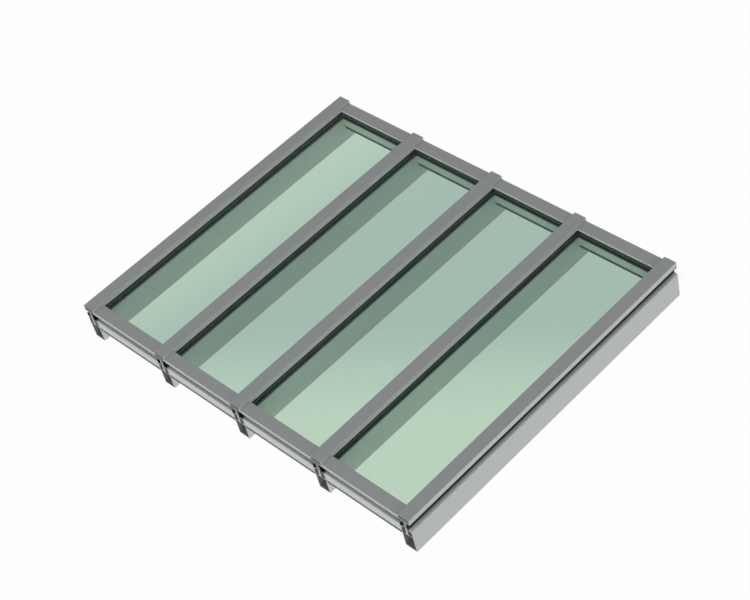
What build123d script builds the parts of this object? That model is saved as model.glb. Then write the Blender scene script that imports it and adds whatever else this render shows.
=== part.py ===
from build123d import *
import os

# Glazed roof light of aluminium rafters and transoms, in millimetres.
# It lies flat in its own plane: X across the bays, Y up the slope from eaves to ridge,
# +Z out of the glass. Z = 0 is the underside of the rafters, the origin is mid-panel.

# Layout
bay_count = 4
bay_pitch = 500.0
slope_length = 1680.0
rafter_width = 64.0
transom_width = 60.0
transom_inset = 2.5
butt_gap = 0.3

# Rafter: chamber below, drained pockets and screw port above the web
rafter_depth = 131.0
rafter_wall = 3.0
rafter_web_height = 87.0
rafter_web = 3.0
chamber_radius = 2.0
edge_radius = 1.0

# Transom: a shallow box with a dark strip pressed into the groove under it
transom_depth = 44.0
transom_wall = 2.5
transom_web_drop = 24.0
strip_height = 18.0
strip_recess = 0.5

# Glazing head, shared by rafter and transom
lip_width = 13.0
lip_thickness = 7.0
shoulder_radius = 4.0
pocket_wall = 3.0
pocket_radius = 8.0
nose_width = 12.0
nose_rise = 38.0
screw_slot = 6.0
screw_slot_depth = 52.0
groove_mouth = 3.5
groove_width = 6.0
groove_depth = 4.5
groove_undercut = 2.5

# Gaskets, isolator caps, outer rebate strips and filler pieces
inner_seal = 7.0
outer_seal = 5.0
seal_clearance = 0.2
isolator_wall = 2.0
isolator_grip = 8.0
rebate_clearance = 5.0
block_length = 100.0
filler_width = 16.0
packer_width = 9.0
edge_strip = 2.0
edge_strip_setback = 4.0

# Insulating glass unit
pane_thickness = 8.0
cavity = 16.0
spacer_width = 11.0

# Pressure plate and clip-on covers
rafter_plate_thickness = 8.0
transom_plate_thickness = 5.0
plate_clearance = 0.5
cover_wall = 2.0
rafter_cover_height = 27.0
transom_cover_height = 12.0
eaves_drip = 5.0
barb_reach = 1.3
barb_height = 1.8
rafter_cover_radius = 2.5
transom_cover_radius = 2.5

# Levels and lines worked out from the sizes above
shoulder = rafter_depth
nose_top = shoulder + nose_rise
glass_bottom = shoulder + inner_seal
glass_thickness = 2 * pane_thickness + cavity
glass_top = glass_bottom + glass_thickness
plate_bottom = glass_top + outer_seal
isolator_width = nose_width + 2 * isolator_wall
isolator_bottom = nose_top - isolator_grip
glass_edge = isolator_width / 2 + rebate_clearance
transom_line = slope_length / 2 - transom_inset - transom_width / 2
transom_bottom = shoulder - transom_depth
bay_clear = bay_pitch - rafter_width - 2 * butt_gap

rafter_lines = [(i - bay_count / 2) * bay_pitch for i in range(bay_count + 1)]
bay_lines = [(i - (bay_count - 1) / 2) * bay_pitch for i in range(bay_count)]


def block(width, low, high, at=0.0):
    """Rectangle of a section, standing on the height `low`."""
    return Pos(at, (low + high) / 2) * Rectangle(width, high - low)


def along_slope(section, line, length=slope_length):
    """Extrude a section up the slope, centred on a rafter line."""
    start = Plane(origin=(line, length / 2, 0), x_dir=(1, 0, 0), z_dir=(0, -1, 0))
    return extrude(start * section, amount=length)


def across_bay(section, bay_line, slope_line, length=bay_clear):
    """Extrude a section across one bay, centred on a transom line."""
    start = Plane(origin=(bay_line - length / 2, slope_line, 0), x_dir=(0, 1, 0), z_dir=(1, 0, 0))
    return extrude(start * section, amount=length)


def groove_line(width):
    """Middle of a bar's lip, where the gasket groove runs."""
    return width / 2 - lip_width / 2


def groove(top, at):
    """Undercut groove that opens at the height `top`."""
    return block(groove_mouth, top - groove_depth, top, at) + block(
        groove_width, top - groove_depth, top - groove_depth + groove_undercut, at
    )


def groove_foot(top, at):
    """Arrow foot that fills such a groove with a small clearance all round."""
    neck_bottom = top - groove_depth + groove_undercut - seal_clearance
    neck = block(groove_mouth - 2 * seal_clearance, neck_bottom, top, at)
    foot_bottom = top - groove_depth + seal_clearance
    return neck + block(groove_width - 2 * seal_clearance, foot_bottom, neck_bottom, at)


def glazing_head(width, floor, wall):
    """Cuts and screw port that rafter and transom share above their web."""
    pocket_width = width / 2 - wall - nose_width / 2
    pocket_line = nose_width / 2 + pocket_width / 2
    mouth_width = width / 2 - lip_width - nose_width / 2
    mouth_line = nose_width / 2 + mouth_width / 2
    lip_bottom = shoulder - lip_thickness
    round_off = min(pocket_radius, pocket_width / 2 - 0.5, (lip_bottom - floor) / 2 - 0.5)
    cuts = Sketch()
    for side in (-1, 1):
        pocket = block(pocket_width, floor, lip_bottom, side * pocket_line)
        cuts += fillet(pocket.vertices(), round_off)
        cuts += block(mouth_width, lip_bottom - round_off, shoulder, side * mouth_line)
        cuts += groove(shoulder, side * groove_line(width))
    nose = block(nose_width, floor - 0.5, nose_top)
    nose -= block(screw_slot, nose_top - screw_slot_depth, nose_top)
    return cuts, nose


def rafter_section():
    outline = block(rafter_width, 0, rafter_depth)
    outline = fillet(outline.vertices().group_by(Axis.Y)[0], edge_radius)
    outline = fillet(outline.vertices().group_by(Axis.Y)[-1], shoulder_radius)
    chamber = block(rafter_width - 2 * rafter_wall, rafter_wall, rafter_web_height)
    chamber = fillet(chamber.vertices(), chamber_radius)
    cuts, nose = glazing_head(rafter_width, rafter_web_height + rafter_web, pocket_wall)
    return outline - chamber - cuts + nose


def transom_section():
    floor = shoulder - transom_web_drop
    outline = block(transom_width, transom_bottom, shoulder)
    outline = fillet(outline.vertices().group_by(Axis.Y)[-1], shoulder_radius)
    strip_seat = groove_depth + transom_wall
    chamber = block(
        transom_width - 2 * transom_wall, transom_bottom + transom_wall, floor - transom_wall
    )
    rib = block(groove_width + 2 * transom_wall, transom_bottom, transom_bottom + strip_seat)
    strip_groove = block(groove_mouth, transom_bottom, transom_bottom + groove_depth)
    strip_groove += block(
        groove_width, transom_bottom + groove_depth - groove_undercut, transom_bottom + groove_depth
    )
    cuts, nose = glazing_head(transom_width, floor, transom_wall)
    return outline - chamber - cuts + nose + rib - strip_groove


def foot_strip_section():
    """Dark strip under a transom, held by an arrow rib in the transom's groove."""
    body = block(
        transom_width - 2 * strip_recess, transom_bottom - strip_height, transom_bottom
    )
    neck_top = transom_bottom + groove_depth - groove_undercut + seal_clearance
    neck = block(groove_mouth - 2 * seal_clearance, transom_bottom, neck_top)
    head_top = transom_bottom + groove_depth - seal_clearance
    return body + neck + block(groove_width - 2 * seal_clearance, neck_top, head_top)


def isolator_section():
    """Cap of the screw port, which keeps the pressure plate off the bar's metal."""
    body = block(isolator_width, isolator_bottom, plate_bottom)
    return body - block(nose_width + 2 * seal_clearance, isolator_bottom, nose_top)


def inner_gasket_section(width, side):
    """Pad on the lip with an arrow foot pressed into the groove."""
    at = side * groove_line(width)
    return block(lip_width, shoulder, glass_bottom, at) + groove_foot(shoulder, at)


def edge_strip_section(width, side):
    """Closing strip over the drained pocket on a side that carries no glass."""
    inner_end = nose_width / 2 + seal_clearance
    outer_end = width / 2 - edge_strip_setback
    middle = side * (inner_end + outer_end) / 2
    cap = block(outer_end - inner_end, shoulder, shoulder + edge_strip, middle)
    return cap + groove_foot(shoulder, side * groove_line(width))


def packer_section(side):
    """Packer that takes the glass's place in the outer rebate of an end rafter."""
    middle = side * (nose_width / 2 + seal_clearance + packer_width / 2)
    low = block(packer_width, shoulder + edge_strip, isolator_bottom - seal_clearance, middle)
    slim = packer_width - isolator_wall - seal_clearance
    slim_middle = side * (isolator_width / 2 + seal_clearance + slim / 2)
    return low + block(slim, isolator_bottom - seal_clearance, plate_bottom, slim_middle)


def outer_gasket_section(width, drip_side=0):
    """Two strips under the pressure plate; one stands back behind a cover's drip."""
    strips = Sketch()
    for side in (-1, 1):
        setback = cover_wall + seal_clearance if side == drip_side else 0.0
        at = side * (groove_line(width) - setback / 2)
        strips += block(lip_width - setback, glass_top, plate_bottom, at)
    return strips


def plate_section(width, thickness):
    plate_width = width - 2 * cover_wall - 2 * plate_clearance
    return block(plate_width, plate_bottom, plate_bottom + thickness)


def cover_section(width, height, plate_thickness, corner, drip=0.0):
    """Open channel with a barb on each leg that clips over the plate's edge."""
    outline = block(width, plate_bottom, plate_bottom + height)
    outline = fillet(outline.vertices().group_by(Axis.Y)[-1], corner)
    inside = block(width - 2 * cover_wall, plate_bottom, plate_bottom + height - cover_wall)
    if corner > cover_wall:
        inside = fillet(inside.vertices().group_by(Axis.Y)[-1], corner - cover_wall)
    section = outline - inside
    barb_line = width / 2 - cover_wall - barb_reach / 2
    barb_low = plate_bottom + plate_thickness + butt_gap
    for side in (-1, 1):
        section += block(barb_reach, barb_low, barb_low + barb_height, side * barb_line)
    if drip:
        leg_line = -(width - cover_wall) / 2
        section += block(cover_wall, plate_bottom - drip, plate_bottom + 1.0, leg_line)
    return section


os.makedirs("parts", exist_ok=True)


def save(name, shapes):
    solids = [solid for shape in shapes for solid in shape.solids()]
    piece = Compound(children=solids) if len(solids) > 1 else solids[0]
    piece.label = name
    export_step(piece, f"parts/{name}.step")


# Rafters with their screw port, and the covers that run the full slope
rafter_profile = rafter_section()
rafter_cover_profile = cover_section(
    rafter_width, rafter_cover_height, rafter_plate_thickness, rafter_cover_radius
)
for number, line in enumerate(rafter_lines, start=1):
    save(f"rafter_{number}", [along_slope(rafter_profile, line)])
    save(f"rafter_cover_{number}", [along_slope(rafter_cover_profile, line)])

# Transoms and their lower covers, butted between the rafters; the eaves covers have a drip
transom_profile = transom_section()
edges = (("eaves", -transom_line, eaves_drip), ("ridge", transom_line, 0.0))
for edge, slope_line, drip in edges:
    cover_profile = cover_section(
        transom_width, transom_cover_height, transom_plate_thickness, transom_cover_radius, drip
    )
    for number, line in enumerate(bay_lines, start=1):
        save(f"{edge}_transom_{number}", [across_bay(transom_profile, line, slope_line)])
        save(f"{edge}_cover_{number}", [across_bay(cover_profile, line, slope_line)])

# Glass: two panes held apart by an edge spacer
glass_width = bay_pitch - 2 * glass_edge
glass_length = 2 * (transom_line - glass_edge)
for number, line in enumerate(bay_lines, start=1):
    sheet = Rectangle(glass_width, glass_length)
    low_pane = extrude(Pos(line, 0, glass_bottom) * sheet, amount=pane_thickness)
    high_pane = Pos(0, 0, pane_thickness + cavity) * low_pane
    save(f"glass_{number}", [low_pane, high_pane])
    ring = sheet - Rectangle(glass_width - 2 * spacer_width, glass_length - 2 * spacer_width)
    spacer = extrude(Pos(line, 0, glass_bottom + pane_thickness) * ring, amount=cavity)
    save(f"spacer_{number}", [spacer])

# Bars that repeat on every rafter
rafter_plate = plate_section(rafter_width, rafter_plate_thickness)
save("rafter_plates", [along_slope(rafter_plate, line) for line in rafter_lines])
rafter_strips = outer_gasket_section(rafter_width)
save("rafter_outer_gaskets", [along_slope(rafter_strips, line) for line in rafter_lines])
right_pad = inner_gasket_section(rafter_width, 1)
left_pad = inner_gasket_section(rafter_width, -1)
rafter_pads = [along_slope(right_pad, line) for line in rafter_lines[:-1]]
rafter_pads += [along_slope(left_pad, line) for line in rafter_lines[1:]]
save("rafter_inner_gaskets", rafter_pads)

# Bars that repeat on every transom, with the strips that close the outer rebates
isolators = [along_slope(isolator_section(), line) for line in rafter_lines]
edge_strips = [
    along_slope(edge_strip_section(rafter_width, -1), rafter_lines[0]),
    along_slope(edge_strip_section(rafter_width, 1), rafter_lines[-1]),
]
transom_plate = plate_section(transom_width, transom_plate_thickness)
transom_plates = []
outer_strips = []
transom_pads = []
foot_strips = []
for slope_line, inward in ((-transom_line, 1), (transom_line, -1)):
    drip_side = -1 if slope_line < 0 else 0
    for line in bay_lines:
        isolators.append(across_bay(isolator_section(), line, slope_line))
        transom_plates.append(across_bay(transom_plate, line, slope_line))
        gaskets = outer_gasket_section(transom_width, drip_side)
        outer_strips.append(across_bay(gaskets, line, slope_line))
        pad = inner_gasket_section(transom_width, inward)
        transom_pads.append(across_bay(pad, line, slope_line))
        closing = edge_strip_section(transom_width, -inward)
        edge_strips.append(across_bay(closing, line, slope_line))
        foot_strips.append(across_bay(foot_strip_section(), line, slope_line))
save("isolators", isolators)
save("edge_strips", edge_strips)
save("transom_plates", transom_plates)
save("transom_outer_gaskets", outer_strips)
save("transom_inner_gaskets", transom_pads)
save("transom_foot_strips", foot_strips)

# Setting blocks carry the glass's lower edge on the eaves transom's screw port
block_width = glass_edge - nose_width / 2
block_line = -transom_line + nose_width / 2 + block_width / 2
setting_block = block(block_width, glass_bottom, isolator_bottom - seal_clearance)
blocks = []
for line in bay_lines:
    for quarter in (-0.25, 0.25):
        at = line + quarter * glass_width
        blocks.append(across_bay(setting_block, at, block_line, block_length))
save("setting_blocks", blocks)

# Fillers take the glass's place in the rafter rebate past its ends, and a packer does so
# along the outer side of each end rafter
filler_start = transom_line - glass_edge + rebate_clearance
filler_length = slope_length / 2 - filler_start
fillers = []
for slope_side in (-1, 1):
    middle = slope_side * (filler_start + filler_length / 2)
    for line in bay_lines:
        for side in (-1, 1):
            at = line + side * (bay_pitch / 2 - glass_edge - filler_width / 2)
            body = Box(filler_width, filler_length, glass_thickness)
            fillers.append(Pos(at, middle, glass_bottom + glass_thickness / 2) * body)
fillers.append(along_slope(packer_section(-1), rafter_lines[0]))
fillers.append(along_slope(packer_section(1), rafter_lines[-1]))
save("rebate_fillers", fillers)
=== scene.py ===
import bpy
from mathutils import Matrix, Vector


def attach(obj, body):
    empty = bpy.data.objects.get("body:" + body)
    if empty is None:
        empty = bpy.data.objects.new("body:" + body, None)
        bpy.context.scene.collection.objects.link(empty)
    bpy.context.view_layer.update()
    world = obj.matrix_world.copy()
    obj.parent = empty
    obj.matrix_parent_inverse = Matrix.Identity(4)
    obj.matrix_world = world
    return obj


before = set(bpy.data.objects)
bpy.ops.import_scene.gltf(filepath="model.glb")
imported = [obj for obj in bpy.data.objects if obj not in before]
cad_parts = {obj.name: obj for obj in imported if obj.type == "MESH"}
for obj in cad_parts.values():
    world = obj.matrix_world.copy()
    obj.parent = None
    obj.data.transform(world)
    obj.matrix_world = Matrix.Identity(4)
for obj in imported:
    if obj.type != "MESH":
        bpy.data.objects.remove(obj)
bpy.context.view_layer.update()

# Rafters: five hollow aluminium bars that run up the slope, sawn square at both ends.
# Each is extruded in one piece with its drained pockets and screw port, then powder
# coated mid grey: satin, faintly orange-peeled. Painted shade darkens the coat inside the
# hollow, and painted light makes it paler on the sides that face into the bays.


class Socket:
    """An output of a node. Arithmetic on it adds Math nodes to the same finish."""

    def __init__(self, finish, output):
        self.finish = finish
        self.output = output

    def maths(self, operation, *values):
        return self.finish.node("ShaderNodeMath", {"operation": operation}, dict(enumerate(values)))

    def __add__(self, other):
        return self.maths("ADD", self, other)

    def __sub__(self, other):
        return self.maths("SUBTRACT", self, other)

    def __rsub__(self, other):
        return self.maths("SUBTRACT", other, self)

    def __mul__(self, other):
        return self.maths("MULTIPLY", self, other)

    __radd__ = __add__
    __rmul__ = __mul__


class Finish:
    """The node tree of a material or of the world."""

    def __init__(self, holder):
        holder.use_nodes = True
        self.tree = holder.node_tree
        self.tree.nodes.clear()

    def node(self, kind, settings=None, sockets=None, output=0):
        """Add a node, set it up, fill its sockets and return one of its outputs, if any."""
        made = self.tree.nodes.new(kind)
        for name, value in (settings or {}).items():
            setattr(made, name, value)
        for name, value in (sockets or {}).items():
            if isinstance(value, Socket):
                self.tree.links.new(value.output, made.inputs[name])
            elif isinstance(value, tuple) and made.inputs[name].type == "RGBA":
                made.inputs[name].default_value = (*value, 1.0)
            else:
                made.inputs[name].default_value = value
        return Socket(self, made.outputs[output]) if len(made.outputs) else None


def new_finish(name):
    material = bpy.data.materials.new(name)
    return material, Finish(material)


def blend(finish, share, first, second):
    """Mix two colours: all of the first where the share is 0, of the second where it is 1."""
    factor, colour_a, colour_b, result = 0, 6, 7, 2
    sockets = {factor: share, colour_a: first, colour_b: second}
    return finish.node("ShaderNodeMix", {"data_type": "RGBA"}, sockets, result)


def add_slot(mesh, material):
    """Give a mesh one more material and return its slot's number."""
    mesh.materials.append(material)
    return len(mesh.materials) - 1


panel_end = 0.840
hair = 0.0005
square_on = 0.9


def wear(material, *names, sawn=None):
    """Give CAD nodes this material, and another to the faces cut at the panel's ends."""
    for name in names:
        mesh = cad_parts[name].data
        mesh.materials.clear()
        mesh.materials.append(material)
        if sawn:
            sawn_slot = add_slot(mesh, sawn)
            for face in mesh.polygons:
                if abs(face.center.y) > panel_end - hair and abs(face.normal.y) > square_on:
                    face.material_index = sawn_slot


def powder_coat(name, pale, deep):
    """Grey coat on aluminium: slow drift in tone, fine grain, orange-peel skin."""
    material, coat = new_finish(name)
    place = coat.node("ShaderNodeTexCoord", output="Object")
    drift = coat.node(
        "ShaderNodeTexNoise", {}, {"Vector": place, "Scale": 2.3, "Detail": 2.0}, "Fac"
    )
    grain = coat.node(
        "ShaderNodeTexNoise", {}, {"Vector": place, "Scale": 1600.0, "Detail": 2.0}, "Fac"
    )
    tone = blend(coat, drift * 0.7 + grain * 0.3, pale, deep)
    peel = coat.node(
        "ShaderNodeTexNoise", {}, {"Vector": place, "Scale": 420.0, "Detail": 1.0}, "Fac"
    )
    skin = coat.node(
        "ShaderNodeBump", {}, {"Height": peel + grain * 0.5, "Strength": 0.12, "Distance": 0.0002}
    )
    surface = coat.node(
        "ShaderNodeBsdfPrincipled",
        {},
        {
            "Base Color": tone,
            "Roughness": drift * 0.10 + 0.44,
            "Metallic": 0.0,
            "IOR": 1.5,
            "Normal": skin,
        },
    )
    coat.node("ShaderNodeOutputMaterial", {}, {"Surface": surface})
    return material


def sawn_aluminium(name):
    """Bare metal left by the saw at a bar's end: fine arcs across the cut."""
    material, cut = new_finish(name)
    place = cut.node("ShaderNodeTexCoord", output="Object")
    arcs = cut.node(
        "ShaderNodeTexWave",
        {"wave_type": "RINGS", "rings_direction": "Y"},
        {"Vector": place, "Scale": 260.0, "Distortion": 1.5, "Detail": 2.0},
        "Fac",
    )
    tone = blend(cut, arcs, (0.38, 0.39, 0.40), (0.48, 0.49, 0.50))
    ridges = cut.node("ShaderNodeBump", {}, {"Height": arcs, "Strength": 0.1, "Distance": 0.0002})
    surface = cut.node(
        "ShaderNodeBsdfPrincipled",
        {},
        {"Base Color": tone, "Metallic": 0.3, "Roughness": arcs * 0.12 + 0.40, "Normal": ridges},
    )
    cut.node("ShaderNodeOutputMaterial", {}, {"Surface": surface})
    return material


grey_coat = powder_coat("grey_powder_coat", (0.556, 0.578, 0.587), (0.525, 0.547, 0.556))
painted_light_coat = powder_coat("painted_light_side_coat", (0.660, 0.682, 0.690), (0.630, 0.652, 0.660))
painted_shade_coat = powder_coat("painted_shade_inside_coat", (0.280, 0.293, 0.295), (0.250, 0.262, 0.265))
sawn_end = sawn_aluminium("sawn_aluminium")
rafter_spacing = 0.5
end_rafter = 1.0
chamber_floor = 0.002
pocket_top = 0.1245
wall_inside = 0.0295
wall_outside = 0.0315
for n in range(1, 6):
    wear(grey_coat, f"rafter_{n}", sawn=sawn_end)
    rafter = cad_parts[f"rafter_{n}"].data
    # Painted shade: the hollow's inner faces get a coat about half as pale as the rest.
    painted_shade_slot = add_slot(rafter, painted_shade_coat)
    painted_light_slot = add_slot(rafter, painted_light_coat)
    for face in rafter.polygons:
        aside = abs(face.center.x - (n - 3) * rafter_spacing)
        hollow = chamber_floor < face.center.z < pocket_top and aside < wall_inside
        if hollow and abs(face.normal.y) < 0.5:
            face.material_index = painted_shade_slot
        # Painted light: the sides that face into the bays get a paler coat.
        in_bay = aside > wall_outside and abs(face.center.x) < end_rafter
        if in_bay and abs(face.normal.x) > square_on:
            face.material_index = painted_light_slot

# Transoms: shallow aluminium boxes cut to fit between the rafters at eaves and ridge,
# in the same alloy and coat, with painted light that makes the faces looking into the bays paler.
painted_light_inner_coat = powder_coat("painted_light_inner_face", (0.715, 0.735, 0.735), (0.685, 0.705, 0.705))
inner_face = 0.7775
for edge in ("eaves", "ridge"):
    for n in range(1, 5):
        wear(grey_coat, f"{edge}_transom_{n}")
        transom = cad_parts[f"{edge}_transom_{n}"].data
        painted_light_inner_slot = add_slot(transom, painted_light_inner_coat)
        for face in transom.polygons:
            # Painted light: the faces that look into the bays get a paler coat.
            if abs(abs(face.center.y) - inner_face) < hair and abs(face.normal.y) > square_on:
                face.material_index = painted_light_inner_slot

# Edge strips: thin coated flats clipped over the drained pockets along the outer edges,
# where the rebate holds no glass. Their coat carries painted light, much paler than the bars'.
painted_light_strip_coat = powder_coat("painted_light_strip_face", (0.850, 0.865, 0.870), (0.820, 0.835, 0.840))
wear(grey_coat, "edge_strips", sawn=sawn_end)
edge_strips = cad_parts["edge_strips"].data
painted_light_strip_slot = add_slot(edge_strips, painted_light_strip_coat)
# Painted light: every face but the sawn ends gets the pale coat.
for face in edge_strips.polygons:
    if abs(face.center.x) > end_rafter - wall_outside and face.material_index == 0:
        face.material_index = painted_light_strip_slot

# Isolator caps and setting blocks: black rigid plastic. The caps are pushed over the
# screw ports, the blocks carry the lower edge of each glass unit. Dull, finely grained.


def dull_finish(name, colour, roughness, grain_scale, shine):
    material, skin = new_finish(name)
    place = skin.node("ShaderNodeTexCoord", output="Object")
    grain = skin.node(
        "ShaderNodeTexNoise", {}, {"Vector": place, "Scale": grain_scale, "Detail": 3.0}, "Fac"
    )
    paler = tuple(1.6 * channel for channel in colour)
    tone = blend(skin, grain, colour, paler)
    bump = skin.node("ShaderNodeBump", {}, {"Height": grain, "Strength": 0.2, "Distance": 0.0003})
    surface = skin.node(
        "ShaderNodeBsdfPrincipled",
        {},
        {
            "Base Color": tone,
            "Roughness": grain * 0.2 + roughness,
            "Specular IOR Level": shine,
            "Normal": bump,
        },
    )
    skin.node("ShaderNodeOutputMaterial", {}, {"Surface": surface})
    return material


black_plastic = dull_finish("black_plastic", (0.020, 0.021, 0.021), 0.50, 700.0, 0.4)
wear(black_plastic, "isolators", "setting_blocks")

# Gaskets: soft rubber strips, extruded and pressed into the grooves of the bars and of
# the plates. The outer ones are black and the inner ones greyer, black again where cut.
black_rubber = dull_finish("black_rubber", (0.005, 0.007, 0.006), 0.65, 900.0, 0.15)
wear(black_rubber, "rafter_outer_gaskets", "transom_outer_gaskets")
grey_rubber = dull_finish("grey_rubber", (0.110, 0.122, 0.114), 0.60, 900.0, 0.2)
wear(grey_rubber, "rafter_inner_gaskets", sawn=black_rubber)
dark_rubber = dull_finish("dark_rubber", (0.055, 0.062, 0.057), 0.60, 900.0, 0.2)
wear(dark_rubber, "transom_inner_gaskets")

# Fillers and packers: black foam in the rafter rebate past the ends of the glass, and a
# harder packer along the outer side of each end rafter. A grey tape covers the top of the
# filler left of each rafter and of the packers' ends.
tape_edge = 0.161
foam_colour = (0.002, 0.002, 0.002)
black_foam = dull_finish("black_foam", foam_colour, 0.90, 1200.0, 0.05)
taped_foam, tape = new_finish("taped_foam")
tape_place = tape.node("ShaderNodeTexCoord", output="Object")
tape_height = tape.node("ShaderNodeSeparateXYZ", {}, {"Vector": tape_place}, "Z")
tape_grain = tape.node(
    "ShaderNodeTexNoise", {}, {"Vector": tape_place, "Scale": 1200.0, "Detail": 3.0}, "Fac"
)
taped = tape.node("ShaderNodeMath", {"operation": "GREATER_THAN"}, {0: tape_height, 1: tape_edge})
tape_tone = blend(tape, taped, foam_colour, (0.230, 0.238, 0.240))
tape_face = tape.node(
    "ShaderNodeBsdfPrincipled",
    {},
    {"Base Color": tape_tone, "Roughness": tape_grain * 0.2 + 0.7, "Specular IOR Level": 0.05},
)
tape.node("ShaderNodeOutputMaterial", {}, {"Surface": tape_face})
packer_rubber = dull_finish("packer_rubber", (0.020, 0.022, 0.023), 0.60, 700.0, 0.3)
wear(black_foam, "rebate_fillers")
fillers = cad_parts["rebate_fillers"].data
packer_slot = add_slot(fillers, packer_rubber)
taped_slot = add_slot(fillers, taped_foam)
for face in fillers.polygons:
    outer = abs(face.center.x) > end_rafter
    past_rafter = (face.center.x + 2 * end_rafter) % rafter_spacing
    if outer and abs(face.center.y) < panel_end - hair:
        face.material_index = packer_slot
    elif outer or past_rafter > rafter_spacing / 2:
        face.material_index = taped_slot

# Corner plug: a short block of the same black foam that shuts the outer rebate of the
# first rafter at the eaves, 15 mm wide, 19 mm high and 40 mm long.
plug_low = (-1.0312, -0.8398, 0.1345)
plug_high = (-1.0162, -0.7998, 0.1535)
plug_edge = 0.0015
bpy.ops.object.select_all(action="DESELECT")
bpy.ops.mesh.primitive_cube_add(size=1.0, location=(0.0, 0.0, 0.0))
corner_plug = bpy.context.object
corner_plug.name = "corner_plug"
bpy.ops.object.mode_set(mode="EDIT")
bpy.ops.transform.resize(value=[high - low for low, high in zip(plug_low, plug_high)])
bpy.ops.transform.translate(value=[(low + high) / 2 for low, high in zip(plug_low, plug_high)])
bpy.ops.mesh.bevel(offset=plug_edge, segments=3, affect="EDGES")
bpy.ops.object.mode_set(mode="OBJECT")
corner_plug.data.materials.append(black_foam)
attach(corner_plug, "root")

# Transom foot strips: extruded strips pressed into the groove under each transom, coloured
# dark grey as painted shade of the recess below its pale face.
# Painted shade: a dark grey that stands in for the shade of the recess under each transom.
painted_shade_foot = dull_finish("painted_shade_foot", (0.085, 0.090, 0.088), 0.50, 600.0, 0.3)
wear(painted_shade_foot, "transom_foot_strips")

# Glass: two 8 mm panes a unit, tinted green, 16 mm apart, with clean polished faces.
# Each face lets its share of the tint through and mirrors what the angle gives.


def tinted_pane(name, tint):
    material, pane = new_finish(name)
    clear = pane.node("ShaderNodeBsdfTransparent", {}, {"Color": tint})
    mirror = pane.node(
        "ShaderNodeBsdfAnisotropic", {}, {"Color": (1.0, 1.0, 1.0), "Roughness": 0.01}
    )
    slant = pane.node("ShaderNodeFresnel", {}, {"IOR": 1.50})
    inside = pane.node("ShaderNodeNewGeometry", output="Backfacing")
    seen = pane.node(
        "ShaderNodeMixShader", {}, {"Fac": slant * (1 - inside), 1: clear, 2: mirror}
    )
    light_let_in = pane.node("ShaderNodeBsdfTransparent", {}, {"Color": (0.96, 0.98, 0.97)})
    shadow_ray = pane.node("ShaderNodeLightPath", output="Is Shadow Ray")
    surface = pane.node(
        "ShaderNodeMixShader", {}, {"Fac": shadow_ray, 1: seen, 2: light_let_in}
    )
    pane.node("ShaderNodeOutputMaterial", {}, {"Surface": surface})
    return material


pane_green = tinted_pane("pane_green", (0.851, 0.914, 0.864))
wear(pane_green, *[f"glass_{n}" for n in range(1, 5)])

# Edge spacers: black warm-edge bar with sealant behind it, run between the two panes all
# round each unit.
black_seal = dull_finish("black_edge_seal", (0.048, 0.062, 0.052), 0.45, 500.0, 0.3)
wear(black_seal, *[f"spacer_{n}" for n in range(1, 5)])

# Pressure plates: mill-finish aluminium flats that clamp the glass, hidden by the
# covers and seen only at the cut ends, with drawing marks along their length.


def mill_aluminium(name, pale, deep):
    material, metal = new_finish(name)
    place = metal.node("ShaderNodeTexCoord", output="Object")
    marks = metal.node(
        "ShaderNodeTexNoise", {}, {"Vector": place, "Scale": 800.0, "Detail": 4.0}, "Fac"
    )
    tone = blend(metal, marks, deep, pale)
    surface = metal.node(
        "ShaderNodeBsdfPrincipled",
        {},
        {"Base Color": tone, "Metallic": 0.6, "Roughness": marks * 0.2 + 0.3},
    )
    metal.node("ShaderNodeOutputMaterial", {}, {"Surface": surface})
    return material


bare_aluminium = mill_aluminium("bare_aluminium", (0.56, 0.57, 0.58), (0.46, 0.47, 0.48))
dull_end = mill_aluminium("dull_plate_end", (0.30, 0.30, 0.31), (0.22, 0.22, 0.23))
wear(bare_aluminium, "rafter_plates", "transom_plates", sawn=dull_end)

# Plate screws: stainless hexagon heads on a washer, every 300 mm, that pull the plates
# down on the gaskets. The covers hide them; a line of sight along a cover finds them.
head_across = 0.008
head_rise = 0.0045
head_edge = 0.0005
washer_across = 0.014
washer_rise = 0.0015
washer_edge = 0.0003
rafter_plate_face = 0.183
transom_plate_face = 0.180
screw_spacing = 0.3
lowest_screw = -0.75
transom_middle = 0.8075
off_bay_middle = 0.12

bpy.ops.object.select_all(action="DESELECT")
bpy.ops.mesh.primitive_cylinder_add(
    vertices=24, radius=washer_across / 2, depth=washer_rise, location=(0.0, 0.0, washer_rise / 2)
)
first_screw = bpy.context.object
bpy.ops.object.mode_set(mode="EDIT")
bpy.ops.mesh.bevel(offset=washer_edge, segments=1, affect="EDGES")
bpy.ops.mesh.primitive_cylinder_add(
    vertices=6,
    radius=head_across / 3**0.5,
    depth=head_rise,
    location=(0.0, 0.0, washer_rise + head_rise / 2),
)
bpy.ops.mesh.bevel(offset=head_edge, segments=1, affect="EDGES")
bpy.ops.object.mode_set(mode="OBJECT")
bpy.ops.object.transform_apply(location=True, rotation=False, scale=False)

seats = []
for bar in range(5):
    for step in range(6):
        up = lowest_screw + screw_spacing * step
        seats.append(((bar - 2) * rafter_spacing, up, rafter_plate_face))
for bay in range(4):
    for end in (-transom_middle, transom_middle):
        for offset in (-off_bay_middle, off_bay_middle):
            seats.append(((bay - 1.5) * rafter_spacing + offset, end, transom_plate_face))
bpy.ops.object.select_all(action="DESELECT")
for seat in seats[1:]:
    screw = first_screw.copy()
    screw.data = first_screw.data.copy()
    screw.data.transform(Matrix.Translation(seat))
    bpy.context.scene.collection.objects.link(screw)
    screw.select_set(True)
first_screw.data.transform(Matrix.Translation(seats[0]))
first_screw.select_set(True)
bpy.context.view_layer.objects.active = first_screw
bpy.ops.object.join()
plate_screws = bpy.context.object
plate_screws.name = "plate_screws"

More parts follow.
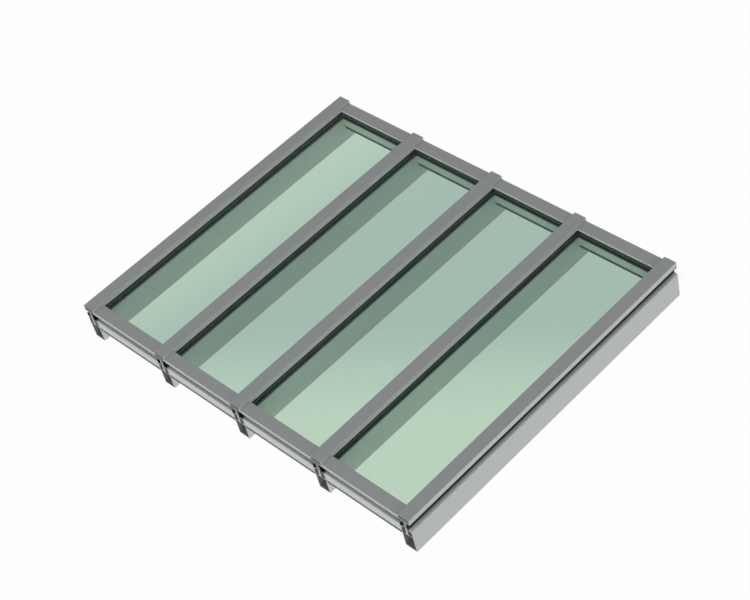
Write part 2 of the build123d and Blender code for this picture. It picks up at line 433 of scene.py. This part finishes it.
stainless, steel = new_finish("stainless_steel")
steel_place = steel.node("ShaderNodeTexCoord", output="Object")
steel_marks = steel.node(
    "ShaderNodeTexNoise", {}, {"Vector": steel_place, "Scale": 900.0, "Detail": 3.0}, "Fac"
)
steel_face = steel.node(
    "ShaderNodeBsdfPrincipled",
    {},
    {"Base Color": (0.60, 0.60, 0.59), "Metallic": 1.0, "Roughness": steel_marks * 0.15 + 0.22},
)
steel.node("ShaderNodeOutputMaterial", {}, {"Surface": steel_face})
plate_screws.data.materials.append(stainless)
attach(plate_screws, "root")

# Covers: grey channels that clip over the plates, 27 mm deep on the rafters and 12 mm
# on the transoms, so the rafter lines stand proud and rain runs off over the eaves. The
# narrow faces that look down the slope carry painted shade on the eaves covers, a darker
# coat, and painted light on the ridge covers, a paler coat.
wear(grey_coat, *[f"rafter_cover_{n}" for n in range(1, 6)], sawn=sawn_end)
painted_shade_front_coat = powder_coat("painted_shade_front_face", (0.490, 0.508, 0.516), (0.460, 0.478, 0.486))
# Painted shade darkens the eaves covers' front faces; painted light makes the ridge covers' front
# faces paler.
for edge, painted_face_coat in (("eaves", painted_shade_front_coat), ("ridge", painted_light_coat)):
    for n in range(1, 5):
        wear(grey_coat, f"{edge}_cover_{n}")
        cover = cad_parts[f"{edge}_cover_{n}"].data
        painted_face_slot = add_slot(cover, painted_face_coat)
        front = min(vertex.co.y for vertex in cover.vertices)
        for face in cover.polygons:
            if face.center.y < front + hair and face.normal.y < -square_on:
                face.material_index = painted_face_slot

# Floor: a pale sheet lit from beneath as well, as a light table is. It shows near
# white to the eye and keeps a light share of the shadow. Under the panel its glow carries
# painted shade, which gives way to painted light toward the eaves corner of the last bay
# and along the first rafter.
floor_size = 60.0
floor_height = -0.0005
bpy.ops.object.select_all(action="DESELECT")
bpy.ops.mesh.primitive_plane_add(size=floor_size, location=(0.0, 0.0, floor_height))
floor = bpy.context.object
floor.name = "studio_floor"
floor_paper, sheet = new_finish("studio_floor")
sheet_place = sheet.node("ShaderNodeTexCoord", output="Object")
along = sheet.node("ShaderNodeSeparateXYZ", {}, {"Vector": sheet_place}, "X")
upward = sheet.node("ShaderNodeSeparateXYZ", {}, {"Vector": sheet_place}, "Y")


def smooth_step(finish, value, start, full):
    """Rise gently from 0 at one value to 1 at another."""
    return finish.node(
        "ShaderNodeMapRange",
        {"interpolation_type": "SMOOTHSTEP"},
        {"Value": value, "From Min": start, "From Max": full, "To Min": 0.0, "To Max": 1.0},
        "Result",
    )


left_edge = (-1.225, -1.140)
right_edge = (1.000, 0.900)
eaves_edge = (-0.790, -0.725)
ridge_edge = (0.965, 0.900)
# Painted shade: the floor's glow turns a darker blue grey under the panel.
painted_shade_under_panel = (
    smooth_step(sheet, along, *left_edge)
    * smooth_step(sheet, along, *right_edge)
    * smooth_step(sheet, upward, *eaves_edge)
    * smooth_step(sheet, upward, *ridge_edge)
)
# Painted light: pools that lift the painted shade toward the eaves corner and along the first
# rafter.
toward_corner = along - upward * 1.376
painted_light_corner = smooth_step(sheet, toward_corner, 0.017, 1.085)
toward_left = upward * 0.146 - along
painted_light_left = smooth_step(sheet, toward_left, 0.450, 1.100) * 0.800
painted_light_pools = sheet.node(
    "ShaderNodeMath", {"operation": "ADD", "use_clamp": True}, {0: painted_light_corner, 1: painted_light_left}
)
white = (1.0, 1.0, 1.0)
# Painted shade colour of the floor's glow under the panel.
painted_shade_colour = (0.756, 0.769, 0.833)
painted_floor_tone = blend(sheet, painted_shade_under_panel * (1 - painted_light_pools), white, painted_shade_colour)
glow = sheet.node("ShaderNodeEmission", {}, {"Color": painted_floor_tone, "Strength": 1.0})
matt = sheet.node("ShaderNodeBsdfDiffuse", {}, {"Color": (0.85, 0.85, 0.85)})
sheet_face = sheet.node("ShaderNodeMixShader", {}, {"Fac": 0.975, 1: matt, 2: glow})
sheet.node("ShaderNodeOutputMaterial", {}, {"Surface": sheet_face})
floor.data.materials.append(floor_paper)

# Studio room: pale walls dimmer than the floor. What the glass and the metal mirror of it
# has a dim ceiling, and a camera that looks past the floor sees white paper.
world = bpy.data.worlds.new("studio")
bpy.context.scene.world = world
room = Finish(world)
toward = room.node("ShaderNodeTexCoord", output="Generated")
height = room.node("ShaderNodeSeparateXYZ", {}, {"Vector": toward}, "Z")
overhead = smooth_step(room, height, 0.62, 0.88)
walls = room.node("ShaderNodeBackground", {}, {"Color": (0.99, 0.99, 0.98), "Strength": 0.345})
ceiling = room.node("ShaderNodeBackground", {}, {"Color": (0.98, 0.98, 0.98), "Strength": 0.15})
mirrored = room.node("ShaderNodeMixShader", {}, {"Fac": overhead, 1: walls, 2: ceiling})
in_mirror = room.node("ShaderNodeLightPath", output="Is Glossy Ray")
lit = room.node("ShaderNodeMixShader", {}, {"Fac": in_mirror, 1: walls, 2: mirrored})
paper = room.node("ShaderNodeBackground", {}, {"Color": white, "Strength": 1.0})
in_camera = room.node("ShaderNodeLightPath", output="Is Camera Ray")
shown = room.node("ShaderNodeMixShader", {}, {"Fac": in_camera, 1: lit, 2: paper})
room.node("ShaderNodeOutputWorld", {}, {"Surface": shown})

# Soft boxes: two low, far ones, in front of the eaves and to the right, so faces that
# look down the slope are palest and every bay is lit alike.
panel_middle = Vector((0.0, 0.0, 0.1))


def soft_box(name, place, width, height, power):
    lamp = bpy.data.lights.new(name, "AREA")
    lamp.shape = "RECTANGLE"
    lamp.size = width
    lamp.size_y = height
    lamp.energy = power
    holder = bpy.data.objects.new(name, lamp)
    bpy.context.scene.collection.objects.link(holder)
    holder.location = place
    holder.rotation_euler = (panel_middle - Vector(place)).to_track_quat("-Z", "Y").to_euler()


soft_box("front_box", (2.4, -12.0, 3.8), width=12.0, height=4.8, power=396.0)
soft_box("right_box", (12.0, 1.2, 4.6), width=9.6, height=4.8, power=106.0)

# Camera: 44 degrees above the glass, 55 degrees round from the eaves, rolled as the
# roof's own pitch shows in the photograph.
lens_pixels = 1869.71
photo_width = 750.0
sensor_width = 36.0
right = Vector((0.70300032, 0.68485440, -0.19174204))
down = Vector((0.40609332, -0.60788609, -0.68232156))
ahead = Vector((-0.58384824, 0.40180711, -0.70545891))
eye = Vector((4.835715, -3.326425, 5.943670))
camera_data = bpy.data.cameras.new("view")
camera_data.sensor_width = sensor_width
camera_data.lens = sensor_width * lens_pixels / photo_width
camera_data.clip_end = 100.0
camera = bpy.data.objects.new("view", camera_data)
bpy.context.scene.collection.objects.link(camera)
turn = Matrix((right, -down, -ahead)).transposed().to_4x4()
camera.matrix_world = Matrix.Translation(eye) @ turn
bpy.context.scene.camera = camera
bpy.context.scene.view_settings.view_transform = "Standard"
